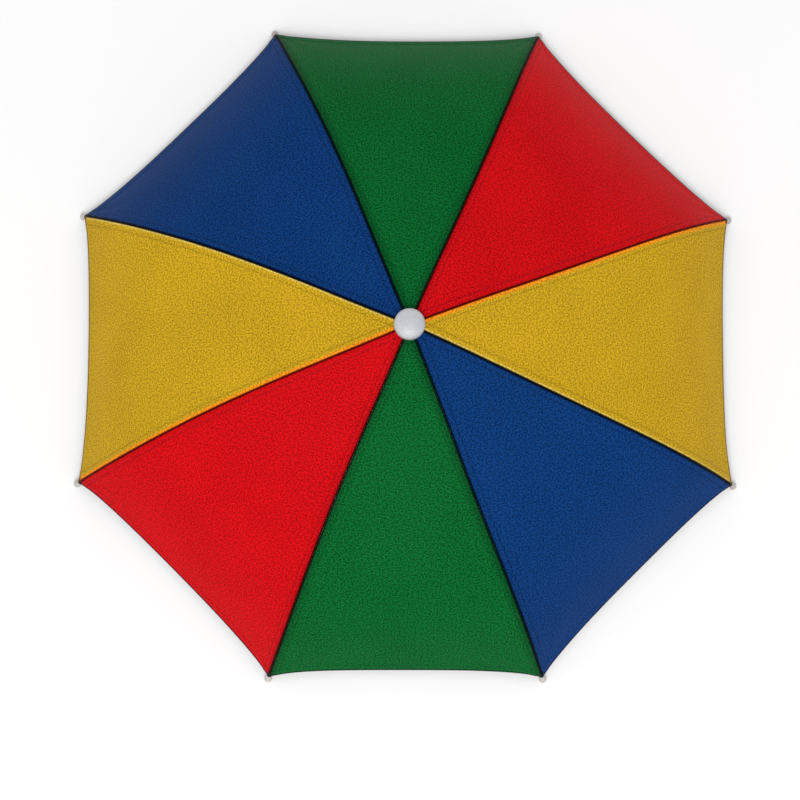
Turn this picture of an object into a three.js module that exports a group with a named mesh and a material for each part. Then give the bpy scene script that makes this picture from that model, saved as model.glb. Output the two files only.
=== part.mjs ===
// Umbrella hat, opened: eight cloth gores on eight sprung ribs, a domed cap on top, and under the
// canopy a short post with its runner, eight stretchers and an elastic headband hung on tabs.
// Millimetres, +Z up. The hat stands on the beads at its rib tips; its axis is the Z axis.
import * as THREE from 'three';
import { mergeVertices } from 'three/addons/utils/BufferGeometryUtils.js';

// Fits
const pieceGap = 0.3; // between two pieces that touch on the real hat
const ribGap = 0.4; // between a rib and the cloth that lies over it
const loopGap = 0.5; // between a stretcher and the tab looped round it

// Canopy
const openedDiameter = 520; // over the beads of two opposite ribs
const ribRise = 118; // from a bead's centre up to where the ribs would meet
const ribSway = 1.8; // how far the cloth's pull bows a rib sideways, clockwise from above
const clothWall = 1;
const clothSag = 4; // how far the cloth dips between two ribs, at the rim
const hemInset = 5.6; // the hem's distance in from the bead's centre, along the rib in plan
const goreColours = [
  { name: 'yellow', colour: '#c9a227' },
  { name: 'red', colour: '#d51f24' },
  { name: 'green', colour: '#13683a' },
  { name: 'blue', colour: '#173e80' },
];
const goreCount = 2 * goreColours.length;

// The rib's drop from the axis to its tip, as shares of ribRise that grow with powers of the radius
const ribBend = [
  { power: 1, share: 0.275 },
  { power: 2, share: 0.35 },
  { power: 5, share: 0.375 },
];
const sagPower = 2; // the sag grows with this power of the radius
const sagFlatness = 3; // 2 is a round dip between two ribs, more is flatter in the middle
const cornerSharpness = 8; // how late along the hem its corner runs out to the bead

// Ribs, stretchers and beads
const ribDiameter = 2.6;
const stretcherDiameter = 2.6;
const stretcherReach = 172; // radius at which a stretcher carries its rib
const beadDiameter = 5.4;
const sleeveDiameter = 4.6; // the bead's neck, which holds the end of the rib
const sleeveLength = 4.4;

// Middle: cap, hub, post and runner
const capDiameter = 21.2;
const capSide = 4;
const capDome = 5;
const capTopWall = 2.2;
const postDiameter = 8;
const hubDiameter = 20;
const hubHeight = 8;
const runnerDiameter = 20;
const runnerHeight = 10;
const runnerDrop = 14; // from the hub down to the runner
const notchWall = 2; // between the bore of the hub or runner and the floor of its notches
const flangeStep = 2.4; // how far the post's collar and foot stand out from it
const collarHeight = 2;
const footHeight = 3;

// Headband and its tabs
const bandDiameter = 172; // inside
const bandWidth = 28;
const bandWall = 2;
const bandClearance = 6; // from the surface under the beads up to the band's lower edge
const tabWidth = 8;
const tabWall = 1.2;
const tabLap = 20; // how far a tab runs down the outside of the band
const tabLoop = 9; // from the stretcher down to where the tab's end comes back to it
const tabSewn = 8; // how far the tab's end is sewn down on the tab
const tabEvery = 2; // every second stretcher carries a tab

// How finely each piece is cut into flat faces: sides round it, steps along it
const facets = {
  goreAcross: 10,
  goreAlong: 14,
  ribSides: 6,
  ribSteps: 14,
  stretcherSides: 8,
  beadSides: 12,
  beadRings: 4,
  capSides: 32,
  capRings: 6,
  postSides: 20,
  collarArc: 6,
  bandSides: 48,
  tabSteps: 24,
};

// Worked out from the sizes above
const pitch = (2 * Math.PI) / goreCount;
const halfPitch = pitch / 2;
const beadRadius = beadDiameter / 2;
const ribRadius = ribDiameter / 2;
const stretcherRadius = stretcherDiameter / 2;
const postRadius = postDiameter / 2;
const boreRadius = postRadius + pieceGap;
const notchFloor = boreRadius + notchWall;
const tipReach = openedDiameter / 2 - beadRadius; // radius of a bead's centre
const clothInside = ribRadius + ribGap; // from the rib's middle up to the cloth
const clothOutside = clothInside + clothWall;

const metal = { color: '#9a9da3', roughness: 0.35, metalness: 0.9 };
const whitePlastic = { color: '#dcdde2', roughness: 0.35, metalness: 0 };
const blackElastic = { color: '#202023', roughness: 0.9, metalness: 0 };

function ribHeight(radius) {
  const share = radius / tipReach;
  const drop = ribBend.reduce((sum, bend) => sum + bend.share * share ** bend.power, 0);
  return beadRadius + ribRise * (1 - drop);
}

function ribSlope(radius) {
  const share = radius / tipReach;
  const rate = ribBend.reduce(
    (sum, bend) => sum + bend.share * bend.power * share ** (bend.power - 1), 0);
  return (-ribRise * rate) / tipReach;
}

// Middle of the rib that lies along +X, at a radius
function ribPoint(radius) {
  const sideways = -ribSway * Math.sin((Math.PI * radius) / tipReach) ** 2;
  return new THREE.Vector3(radius, sideways, ribHeight(radius));
}

// Square to the rib, pointing up and out, for a point at an azimuth
function outward(radius, azimuth) {
  const slope = ribSlope(radius);
  return new THREE.Vector3(-slope * Math.cos(azimuth), -slope * Math.sin(azimuth), 1).normalize();
}

function solid(name, geometry, finish) {
  const mesh = new THREE.Mesh(geometry, new THREE.MeshStandardMaterial(finish));
  mesh.name = name;
  return mesh;
}

// A box with many faces whose corners are moved by place(across, along, side),
// where across runs -1 to 1, along 0 to 1 and side is 0 inside and 1 outside
function bentSheet(acrossSteps, alongSteps, place) {
  const box = new THREE.BoxGeometry(2, 1, 1, acrossSteps, alongSteps, 1);
  box.deleteAttribute('normal');
  box.deleteAttribute('uv');
  const sheet = mergeVertices(box);
  const corners = sheet.attributes.position;
  for (let i = 0; i < corners.count; i += 1) {
    const moved = place(corners.getX(i), corners.getY(i) + 0.5, corners.getZ(i) + 0.5);
    corners.setXYZ(i, moved.x, moved.y, moved.z);
  }
  sheet.computeVertexNormals();
  return sheet;
}

// A turned piece from its outline of [radius, height] pairs, counted upwards
function turned(outline, segments) {
  const points = outline.map(([radius, height]) => new THREE.Vector2(radius, height));
  return new THREE.LatheGeometry(points, segments).rotateX(Math.PI / 2);
}

// Outline points of a quarter round, from its widest point up to the axis
function quarterRound(radius, base, rise, steps) {
  return Array.from({ length: steps + 1 }, (unused, i) => {
    const angle = (i / steps) * (Math.PI / 2);
    return [i === steps ? 0 : radius * Math.cos(angle), base + rise * Math.sin(angle)];
  });
}

// A round bar with the given number of sides along a curve
function bar(curve, radius, sides, steps) {
  const ring = Array.from({ length: sides }, (unused, i) => {
    const angle = (i / sides) * 2 * Math.PI;
    return new THREE.Vector2(radius * Math.cos(angle), radius * Math.sin(angle));
  });
  return new THREE.ExtrudeGeometry(new THREE.Shape(ring), {
    extrudePath: curve, steps, bevelEnabled: false,
  });
}

// One gore, lying along +X between the ribs half a pitch to each side
function gore() {
  const holeRadius = boreRadius / Math.cos(halfPitch);
  const cornerInset = (sleeveLength + pieceGap) * Math.cos(Math.atan(ribSlope(tipReach)));
  const up = new THREE.Vector3(0, 0, 1);
  return bentSheet(facets.goreAcross, facets.goreAlong, (spread, along, side) => {
    const across = Math.sin((spread * Math.PI) / 2);
    const corner = Math.abs(across) ** cornerSharpness;
    const hemRadius = tipReach - THREE.MathUtils.lerp(hemInset, cornerInset, corner);
    const radius = THREE.MathUtils.lerp(holeRadius, hemRadius, along);
    const left = ribPoint(radius).applyAxisAngle(up, halfPitch);
    const right = ribPoint(radius).applyAxisAngle(up, -halfPitch);
    const seamShare = pieceGap / 2 / Math.cos(halfPitch) / left.distanceTo(right);
    const place = (across + 1) / 2;
    const point = left.lerp(right, THREE.MathUtils.clamp(place, seamShare, 1 - seamShare));
    const dip = 1 - Math.abs(across) ** sagFlatness;
    const sag = clothSag * (radius / tipReach) ** sagPower * dip;
    const lift = THREE.MathUtils.lerp(clothInside, clothOutside, side) - sag;
    return point.addScaledVector(outward(radius, Math.atan2(point.y, point.x)), lift);
  });
}

class RibCurve extends THREE.Curve {
  getPoint(t) {
    const inner = notchFloor + pieceGap;
    const outer = tipReach - 2 * pieceGap * Math.cos(Math.atan(ribSlope(tipReach)));
    return ribPoint(THREE.MathUtils.lerp(inner, outer, t));
  }
}

// The bead and its sleeve, with a socket for the rib, its own axis along +Z and its centre at 0
function bead() {
  const socketRadius = ribRadius + pieceGap;
  return turned([
    [0, -pieceGap],
    [socketRadius, -pieceGap],
    [socketRadius, -sleeveLength],
    [sleeveDiameter / 2, -sleeveLength],
    [sleeveDiameter / 2, -beadRadius / 2],
    ...quarterRound(beadRadius, 0, beadRadius, facets.beadRings),
  ], facets.beadSides);
}

// A straight bar from the runner's notch to the underside of the rib
function stretcherEnds() {
  const hang = ribRadius + pieceGap + stretcherRadius;
  const atRib = ribPoint(stretcherReach).addScaledVector(outward(stretcherReach, 0), -hang);
  const atRunner = new THREE.Vector3(notchFloor + pieceGap, 0, runnerTop - runnerHeight / 2);
  return [atRunner, atRib];
}

// A round collar with a bore and one notch for each rib or stretcher
function notchedCollar(diameter, height, barRadius) {
  const halfNotch = barRadius + pieceGap;
  const rim = diameter / 2;
  const mouth = Math.asin(halfNotch / rim);
  const outline = new THREE.Shape();
  for (let i = 0; i < goreCount; i += 1) {
    const azimuth = (i + 0.5) * pitch;
    const along = new THREE.Vector2(Math.cos(azimuth), Math.sin(azimuth));
    const beside = new THREE.Vector2(-along.y, along.x);
    const corner = (side) => along.clone().multiplyScalar(notchFloor)
      .addScaledVector(beside, side * halfNotch);
    outline.absarc(0, 0, rim, azimuth - pitch + mouth, azimuth - mouth, false);
    outline.lineTo(corner(-1).x, corner(-1).y);
    outline.lineTo(corner(1).x, corner(1).y);
  }
  const hole = new THREE.Path();
  hole.absarc(0, 0, boreRadius, 0, 2 * Math.PI, true);
  outline.holes.push(hole);
  return new THREE.ExtrudeGeometry(outline, {
    depth: height, curveSegments: facets.collarArc, bevelEnabled: false,
  });
}

// Heights down the middle of the hat
const hubRim = hubDiameter / 2 / Math.cos(halfPitch);
const hubTop = ribHeight(hubRim) + clothInside - pieceGap;
const hubBottom = hubTop - hubHeight;
const runnerTop = hubBottom - runnerDrop;
const runnerBottom = runnerTop - runnerHeight;
const underCap = (radius) => ribHeight(radius)
  + clothOutside * Math.hypot(1, ribSlope(radius)) + pieceGap;
const capShoulder = underCap(capDiameter / 2) + capSide;
const socketTop = capShoulder + capDome - capTopWall;

function cap() {
  return turned([
    [0, socketTop],
    [boreRadius, socketTop],
    [boreRadius, underCap(boreRadius)],
    [capDiameter / 2, underCap(capDiameter / 2)],
    ...quarterRound(capDiameter / 2, capShoulder, capDome, facets.capRings),
  ], facets.capSides);
}

function post() {
  const flangeRadius = postRadius + flangeStep;
  const collarTop = hubBottom - pieceGap;
  const footTop = runnerBottom - pieceGap;
  return turned([
    [0, footTop - footHeight],
    [flangeRadius, footTop - footHeight],
    [flangeRadius, footTop],
    [postRadius, footTop],
    [postRadius, collarTop - collarHeight],
    [flangeRadius, collarTop - collarHeight],
    [flangeRadius, collarTop],
    [postRadius, collarTop],
    [postRadius, socketTop - pieceGap],
    [0, socketTop - pieceGap],
  ], facets.postSides);
}

function headband() {
  const inside = bandDiameter / 2;
  const outside = inside + bandWall;
  const top = bandClearance + bandWidth;
  return turned([
    [inside, bandClearance],
    [outside, bandClearance],
    [outside, top],
    [inside, top],
    [inside, bandClearance],
  ], facets.bandSides);
}

// A tab sewn to the outside of the band: it turns a quarter on its way up, loops over the
// stretcher that lies along +X, and comes back to itself
function tab() {
  const [inner, outer] = stretcherEnds();
  const radius = bandDiameter / 2 + bandWall + pieceGap + tabWall / 2;
  const held = inner.clone().lerp(outer, (radius - inner.x) / (outer.x - inner.x));
  const alongBar = outer.clone().sub(inner).normalize();
  const round = stretcherRadius + loopGap + tabWall / 2;
  const beside = (tabWall + pieceGap) / 2;
  const bandTop = bandClearance + bandWidth;
  const joinTop = held.z - tabLoop;
  const joinLow = joinTop - tabSewn;
  const spot = (sideways, height) => new THREE.Vector3(radius, held.y + sideways, height);
  const route = new THREE.CatmullRomCurve3([
    spot(0, bandTop - tabLap),
    spot(0, bandTop),
    spot(-beside, joinLow),
    spot(-beside, joinTop),
    spot(-round, held.z),
    spot(0, held.z + round),
    spot(round, held.z),
    spot(beside, joinTop),
    spot(beside, joinLow),
  ]);
  return bentSheet(1, facets.tabSteps, (across, along, side) => {
    const point = route.getPoint(along);
    const turn = THREE.MathUtils.smoothstep(point.z, bandTop, joinLow) * (Math.PI / 2);
    const wide = alongBar.clone().multiplyScalar(-Math.sin(turn));
    wide.y += Math.cos(turn);
    const thick = wide.clone().cross(route.getTangent(along)).normalize();
    return point.addScaledVector(wide, (across * tabWidth) / 2)
      .addScaledVector(thick, (side - 0.5) * tabWall);
  });
}

const hat = new THREE.Group();

for (let i = 0; i < goreCount; i += 1) {
  const { name, colour } = goreColours[i % goreColours.length];
  const copy = Math.floor(i / goreColours.length) + 1;
  const finish = { color: colour, roughness: 0.6, metalness: 0 };
  const panel = solid(`gore_${name}_${copy}`, gore(), finish);
  panel.rotation.z = i * pitch;
  hat.add(panel);
}

for (let i = 0; i < goreCount; i += 1) {
  const arm = new THREE.Group();
  arm.rotation.z = (i + 0.5) * pitch;
  hat.add(arm);
  const spring = bar(new RibCurve(), ribRadius, facets.ribSides, facets.ribSteps);
  arm.add(solid(`rib_${i + 1}`, spring, metal));

  const tip = solid(`rib_tip_${i + 1}`, bead(), whitePlastic);
  tip.position.copy(ribPoint(tipReach));
  tip.rotation.y = Math.PI / 2 - Math.atan(ribSlope(tipReach));
  arm.add(tip);

  const ends = stretcherEnds();
  const strut = new THREE.LineCurve3(ends[0], ends[1]);
  const stretcher = bar(strut, stretcherRadius, facets.stretcherSides, 1);
  arm.add(solid(`stretcher_${i + 1}`, stretcher, metal));

  if (i % tabEvery === 0) {
    arm.add(solid(`headband_tab_${i / tabEvery + 1}`, tab(), blackElastic));
  }
}

const hub = solid('hub', notchedCollar(hubDiameter, hubHeight, ribRadius), whitePlastic);
hub.position.z = hubBottom;
hat.add(hub);

const runnerRing = notchedCollar(runnerDiameter, runnerHeight, stretcherRadius);
const runner = solid('runner', runnerRing, whitePlastic);
runner.position.z = runnerBottom;
hat.add(runner);

hat.add(solid('post', post(), whitePlastic));
hat.add(solid('top_cap', cap(), whitePlastic));
hat.add(solid('headband', headband(), blackElastic));

// The beads' lowest corners stand on the surface at zero
hat.position.z = -new THREE.Box3().setFromObject(hat, true).min.z;

export default hat;
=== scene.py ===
import math
import random

import bmesh
import bpy
import numpy as np
from mathutils import Matrix, Vector


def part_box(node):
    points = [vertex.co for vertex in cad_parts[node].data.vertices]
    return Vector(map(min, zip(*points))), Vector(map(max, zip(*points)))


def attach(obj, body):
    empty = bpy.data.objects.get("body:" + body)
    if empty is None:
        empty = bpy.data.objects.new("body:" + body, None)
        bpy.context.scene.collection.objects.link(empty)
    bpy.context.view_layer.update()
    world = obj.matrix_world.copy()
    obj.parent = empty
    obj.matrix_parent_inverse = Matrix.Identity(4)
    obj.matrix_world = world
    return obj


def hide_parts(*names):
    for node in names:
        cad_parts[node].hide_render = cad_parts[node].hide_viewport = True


# Umbrella hat. Metres, +Z up, the hat's axis is the Z axis and it stands on its beads.
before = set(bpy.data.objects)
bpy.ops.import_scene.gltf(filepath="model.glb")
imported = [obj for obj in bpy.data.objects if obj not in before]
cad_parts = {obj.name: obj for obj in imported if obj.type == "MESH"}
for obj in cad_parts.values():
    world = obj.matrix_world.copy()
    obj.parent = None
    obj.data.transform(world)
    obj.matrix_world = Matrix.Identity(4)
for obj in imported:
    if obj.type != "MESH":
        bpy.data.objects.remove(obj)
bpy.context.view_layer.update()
print("stage: frame loaded,", len(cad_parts), "solids")

canopy = dict(
    gores=("yellow", "red", "green", "blue") * 2,  # anticlockwise from +X
    tipReach=0.2573,      # radius of a bead's centre
    beadHeight=0.002676,  # of a bead's centre over the floor
    ribRise=0.118,        # from there to where the ribs would meet
    bends=((1, 0.275), (2, 0.35), (5, 0.375)),  # power of the radius, share of the rise
    sway=0.0018,          # sideways bow of a rib under the cloth's pull
    holeRadius=0.0043,    # round the post
)
goreCount = len(canopy["gores"])
pitch = 2 * math.pi / goreCount
halfPitch = pitch / 2
mm = 0.001


def linear(code):  # a colour code such as "#13683a" as light values
    parts = [int(code[i:i + 2], 16) / 255 for i in (1, 3, 5)]
    return tuple(c / 12.92 if c < 0.04045 else ((c + 0.055) / 1.055) ** 2.4 for c in parts)


def smooth(value, low, high):  # 0 under low, 1 over high, an S between them
    share = np.clip((value - low) / (high - low), 0, 1)
    return share * share * (3 - 2 * share)


def unit(vectors):
    vectors = np.asarray(vectors, float)
    return vectors / np.maximum(np.linalg.norm(vectors, axis=-1, keepdims=True), 1e-12)


# The ribs' line, which the cloth, the ribs and everything on them follow
def ribHeight(radius):
    share = radius / canopy["tipReach"]
    drop = sum(part * share ** power for power, part in canopy["bends"])
    return canopy["beadHeight"] + canopy["ribRise"] * (1 - drop)


def ribSlope(radius):
    share = radius / canopy["tipReach"]
    rate = sum(part * power * share ** (power - 1) for power, part in canopy["bends"])
    return -canopy["ribRise"] * rate / canopy["tipReach"]


def ribPoint(radius, azimuth):
    radius, azimuth = np.broadcast_arrays(np.asarray(radius, float), azimuth)
    sideways = -canopy["sway"] * np.sin(math.pi * radius / canopy["tipReach"]) ** 2
    c, s = np.cos(azimuth), np.sin(azimuth)
    return np.stack([radius * c - sideways * s, radius * s + sideways * c, ribHeight(radius)], -1)


def outward(radius, azimuth):  # square to the rib, up and out
    slope, azimuth = np.broadcast_arrays(ribSlope(np.asarray(radius, float)), azimuth)
    return unit(np.stack([-slope * np.cos(azimuth), -slope * np.sin(azimuth), 1 + 0 * slope], -1))


def ribAzimuth(i):
    return (i + 0.5) * pitch


# Mesh making
def addPiece(name, points, faces, finish, slot, sharp=None, nodes=()):
    mesh = bpy.data.meshes.new(name)
    mesh.from_pydata(np.asarray(points, float).tolist(), [], faces)
    made = bmesh.new()
    made.from_mesh(mesh)
    bmesh.ops.recalc_face_normals(made, faces=made.faces)
    made.to_mesh(mesh)
    made.free()
    mesh.materials.append(finish)
    mesh.shade_smooth()
    if sharp:
        mesh.set_sharp_from_angle(angle=math.radians(sharp))
    piece = bpy.data.objects.new(name, mesh)
    bpy.context.scene.collection.objects.link(piece)
    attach(piece, "root")
    if nodes:
        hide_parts(*nodes)
    return piece


def joined(parts):  # several (points, faces) as one
    points, faces, start = [], [], 0
    for some, theirs in parts:
        points.append(np.asarray(some, float))
        faces += [[start + i for i in face] for face in theirs]
        start += len(some)
    return np.concatenate(points), faces


def gridFaces(rows, columns, aroundRows=False, aroundColumns=False):
    return [
        [r * columns + c, r * columns + (c + 1) % columns,
         (r + 1) % rows * columns + (c + 1) % columns, (r + 1) % rows * columns + c]
        for r in range(rows if aroundRows else rows - 1)
        for c in range(columns if aroundColumns else columns - 1)
    ]


def sweep(path, sides, ups, section, sizes=None, closed=False):
    # a closed outline of (side, up) pairs carried along a path, scaled by sizes on the way
    path, section = np.asarray(path, float), np.asarray(section, float)
    sizes = np.ones(len(path)) if sizes is None else np.asarray(sizes, float)
    across = section[None, :, :1] * np.asarray(sides)[:, None]
    over = section[None, :, 1:] * np.asarray(ups)[:, None]
    rings = path[:, None] + sizes[:, None, None] * (across + over)
    count = len(section)
    faces = gridFaces(len(path), count, aroundRows=closed, aroundColumns=True)
    if not closed:
        faces += [list(range(count)), [(len(path) - 1) * count + i for i in range(count)]]
    return rings.reshape(-1, 3), faces


def disc(radius, sides):
    turn = np.arange(sides) * 2 * math.pi / sides
    return np.stack([radius * np.cos(turn), radius * np.sin(turn)], -1)


def thread(path, radius, sides=6, closed=False, sizes=None):  # a round strand along a path
    path = np.asarray(path, float)
    ahead = unit(np.roll(path, -1, 0) - np.roll(path, 1, 0) if closed else np.gradient(path, axis=0))
    side = np.cross(ahead[0], (0, 0, 1) if abs(ahead[0][2]) < 0.9 else (1, 0, 0))
    ringSides, ringUps = [], []
    for step in ahead:  # the ring turns with the path and never flips
        side = unit(side - step * np.dot(side, step))
        ringSides.append(side)
        ringUps.append(np.cross(step, side))
    return sweep(path, ringSides, ringUps, disc(radius, sides), sizes, closed)


def turned(outline, sides):  # an outline of (radius, height) from the axis to the axis
    turn = np.arange(sides) * 2 * math.pi / sides
    points = [(0, 0, outline[0][1])]
    for radius, height in outline[1:-1]:
        points += [(radius * math.cos(a), radius * math.sin(a), height) for a in turn]
    points.append((0, 0, outline[-1][1]))
    rings = len(outline) - 2
    last = len(points) - 1
    faces = [[1 + i for i in face] for face in gridFaces(rings, sides, aroundColumns=True)]
    faces += [[0, 1 + i, 1 + (i + 1) % sides] for i in range(sides)]
    faces += [[last, last - sides + i, last - sides + (i + 1) % sides] for i in range(sides)]
    return np.array(points, float), faces


def arc(centre, radius, start, end, steps):  # points of an arc, angles in degrees
    turns = np.radians(np.linspace(start, end, steps + 1))
    return [(centre[0] + radius * math.cos(a), centre[1] + radius * math.sin(a)) for a in turns]


def placed(points, matrix):
    return np.asarray(points) @ np.array(matrix.to_3x3()).T + np.array(matrix.translation)


def lengthsAlong(path):  # from its start to each of its points
    return np.concatenate([[0], np.cumsum(np.linalg.norm(np.diff(path, axis=0), axis=1))])


def addAttribute(piece, name, values):  # one number or one vector for each point
    values = np.asarray(values, float)
    kind, field = ("FLOAT", "value") if values.ndim == 1 else ("FLOAT_VECTOR", "vector")
    piece.data.attributes.new(name, kind, "POINT").data.foreach_set(field, values.ravel())


# Shader making
class Wire:  # an output in a node tree; sums on wires become Math nodes
    def __init__(self, tree, socket=None):
        self.tree = tree
        self.socket = socket

    def node(self, kind, settings=None, inputs=None, out=0):
        made = self.tree.nodes.new(kind)
        for key, value in (settings or {}).items():
            setattr(made, key, value)
        for key, value in (inputs or {}).items():
            if isinstance(value, Wire):
                self.tree.links.new(value.socket, made.inputs[key])
            elif isinstance(value, tuple) and len(value) < len(made.inputs[key].default_value):
                made.inputs[key].default_value = (*value, 1)
            else:
                made.inputs[key].default_value = value
        return Wire(self.tree, made.outputs[out] if made.outputs else None)

    def sum(self, operation, a, b):
        return self.node("ShaderNodeMath", dict(operation=operation), {0: a, 1: b})

    def __add__(self, other):
        return self.sum("ADD", self, other)

    def __sub__(self, other):
        return self.sum("SUBTRACT", self, other)

    def __rsub__(self, other):
        return self.sum("SUBTRACT", other, self)

    def __mul__(self, other):
        return self.sum("MULTIPLY", self, other)

    __radd__ = __add__
    __rmul__ = __mul__


def newFinish(name):
    material = bpy.data.materials.new(name)
    material.use_nodes = True
    material.node_tree.nodes.clear()
    return material, Wire(material.node_tree)


def attribute(w, name, vector=False):
    return w.node("ShaderNodeAttribute", dict(attribute_name=name), out=1 if vector else 2)


def xAndY(w, vector):
    return [w.node("ShaderNodeSeparateXYZ", inputs={0: vector}, out=out) for out in (0, 1)]


def noise(w, place, scale, detail=2.0, roughness=0.5):
    return w.node("ShaderNodeTexNoise", inputs={
        "Vector": place, "Scale": scale, "Detail": detail, "Roughness": roughness})


def near(w, distance, full, gone):  # 1 up to full, 0 from gone on
    return w.node("ShaderNodeMapRange", dict(interpolation_type="SMOOTHSTEP"),
                  {"Value": distance, "From Min": full, "From Max": gone, "To Min": 1.0, "To Max": 0.0})


def mixed(w, share, a, b):  # colours
    return w.node("ShaderNodeMix", dict(data_type="RGBA"), {0: share, 6: a, 7: b}, out=2)


def toned(w, colour, tone):  # a colour made lighter or darker
    return w.node("ShaderNodeVectorMath", dict(operation="SCALE"), {0: colour, 3: tone})


def wave(w, place, length):  # -1 to 1 along a distance in metres
    return w.node("ShaderNodeMath", dict(operation="SINE"), {0: place * (2 * math.pi / length)})


def bumped(w, height, depth, strength=1.0):
    return w.node("ShaderNodeBump", inputs={"Height": height, "Distance": depth, "Strength": strength})


def surfaced(w, colour, roughness, normal=None, **fixed):
    inputs = {"Base Color": colour, "Roughness": roughness}
    if normal:
        inputs["Normal"] = normal
    inputs.update({key.replace("_", " "): value for key, value in fixed.items()})
    shader = w.node("ShaderNodeBsdfPrincipled", inputs=inputs)
    w.node("ShaderNodeOutputMaterial", inputs={"Surface": shader})


clothLooks = dict(
    grainSize=0.0011, grainRange=(0.34, 0.66), cloudSize=0.05, cloudDepth=0.12,
    yarn=0.00085, yarnDepth=0.05, bumpDepth=0.00012, roughness=0.42, shine=0.035,
    seamSway=0.0003,  # how far the seam's lines wander
    rawEdgeShade=(0.0042, 0.0052, 0.0064), rawEdgeShadeStrength=0.3,  # where it begins, peaks and ends
    # full up to the first distance and gone at the second, then the strength
    hemThreadAndShade=(0.0009, 0.0021, 0.85), tipStitchesAndShade=(0.0035, 0.0075, 0.8),
    # each: the cloth, its gloss, its hem's edge (dark thread and painted shade) and the depth of its
    # grain, then for the left and right seam the line's colour, its half width, and the strip beside it
    # (painted shade, highlight or allowance), its width and strength
    # the strips are painted shade beside the seams of red, green and blue, a painted highlight beside
    # yellow's right seam, and on yellow's left the red allowance showing through
    yellow=dict(cloth="#c19a1e", gloss=(1, 0.85, 0.4), hem="#5f4a1c", grain=0.34,
                left=("#7a1a06", 0.0004, "#f08c1e", 0.0026, 0.85),
                right=("#1a1a14", 0.0004, "#dcc468", 0.0017, 0.6)),
    red=dict(cloth="#c60e14", gloss=(1, 0.35, 0.35), hem="#2a0a20", grain=0.36,
             left=("#2a0606", 0.0008, "#7c060c", 0.0030, 0.4),
             right=("#3c0505", 0.0006, "#a00c12", 0.0022, 0.35)),
    green=dict(cloth="#0a5c28", gloss=(0.3, 1, 0.45), hem="#06200e", grain=0.5,
               left=("#04140c", 0.0008, "#06361a", 0.0042, 0.55),
               right=("#10120a", 0.0008, "#083c1c", 0.0038, 0.5)),
    blue=dict(cloth="#0e366e", gloss=(0.3, 0.55, 1), hem="#050a20", grain=0.48,
              left=("#03050c", 0.0010, "#0a2450", 0.0022, 0.35),
              right=("#020a12", 0.0008, "#0c2c5c", 0.0026, 0.35)),
)


def clothFinish(name):
    look = clothLooks[name]
    material, w = newFinish(name + "Cloth")
    cut = attribute(w, "cut", vector=True)
    soft = noise(w, cut, 1 / clothLooks["grainSize"], 1.0, 0.5)
    grain = 1 - near(w, soft, *clothLooks["grainRange"])  # the same spots with more contrast
    cloud = noise(w, cut, 1 / clothLooks["cloudSize"], 2.0)
    x, y = xAndY(w, cut)
    yarns = wave(w, x, clothLooks["yarn"]) * wave(w, y, clothLooks["yarn"])
    tone = (1 + (grain - 0.5) * (2 * look["grain"]) + (cloud - 0.5) * (2 * clothLooks["cloudDepth"])
            + yarns * clothLooks["yarnDepth"])
    colour = toned(w, linear(look["cloth"]), tone)
    # the hem's colour: its dark thread, and painted shade along the hem, at the tips and at the
    # allowance's edge
    hem = linear(look["hem"])
    begins, peaks, ends = clothLooks["rawEdgeShade"]
    for side in ("left", "right"):
        seamLineAndShadeCode, half, stripCode, stripWidth, strength = look[side]
        away = attribute(w, side + "Seam") + (cloud - 0.5) * clothLooks["seamSway"]
        # painted shade: the allowance's raw edge under the cloth shows as a faint darker line
        rawEdgeShade = near(w, away, peaks, ends) * (1 - near(w, away, begins, peaks))
        colour = mixed(w, rawEdgeShade * clothLooks["rawEdgeShadeStrength"], colour, hem)
        # painted shade beside the seam, a painted highlight beside yellow's right seam; on yellow's left
        # the red allowance under it
        strip = near(w, away, stripWidth * 0.7, stripWidth * 1.2) * strength
        colour = mixed(w, strip, colour, toned(w, linear(stripCode), tone))
        # the seam's dark line: the seam itself with painted shadow in its groove
        colour = mixed(w, near(w, away, half * 0.6, half * 1.5) * 0.95, colour, linear(seamLineAndShadeCode))
    # dark thread along the hem with painted shade where its edge turns down, and dense stitches with
    # painted shade at the tips' corners
    for distance, mark in (("toHem", "hemThreadAndShade"), ("toTip", "tipStitchesAndShade")):
        full, gone, strength = clothLooks[mark]
        colour = mixed(w, near(w, attribute(w, distance), full, gone) * strength, colour, hem)
    normal = bumped(w, yarns * 0.3 + soft, clothLooks["bumpDepth"], 0.6)
    surfaced(w, colour, clothLooks["roughness"] + (soft - 0.5) * 0.2, normal,
             Specular_IOR_Level=clothLooks["shine"], Specular_Tint=look["gloss"])
    return material


steelLooks = dict(dark="#8c8e92", light="#b9bbbf", wearScale=55, streakScale=900, streakDepth=0.00004,
                  roughness=0.28, wearRoughness=0.14, streakRoughness=0.08)


def steelFinish():
    look = steelLooks
    material, w = newFinish("ribSteel")
    place = w.node("ShaderNodeTexCoord", out=3)
    streaks = noise(w, place, look["streakScale"], 2.0)
    wear = noise(w, place, look["wearScale"], 3.0, 0.6)
    colour = mixed(w, wear, linear(look["dark"]), linear(look["light"]))
    roughness = look["roughness"] + wear * look["wearRoughness"] + streaks * look["streakRoughness"]
    surfaced(w, colour, roughness, bumped(w, streaks, look["streakDepth"], 0.4), Metallic=1.0)
    return material


plasticLooks = dict(  # two close tones, their roughness, and the grain's scale, depth and flecks
    capPlastic=dict(code="#c6c7cb", shade="#b4b6bd", roughness=0.36,
                    grainScale=900, grainDepth=0.00008, fleck=0.25),
    innerPlastic=dict(code="#dedfe3", shade="#d2d4d9", roughness=0.38),
    beadPlastic=dict(code="#c8c3be", shade="#aea8a3", roughness=0.36, grainScale=1200),
)


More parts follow.
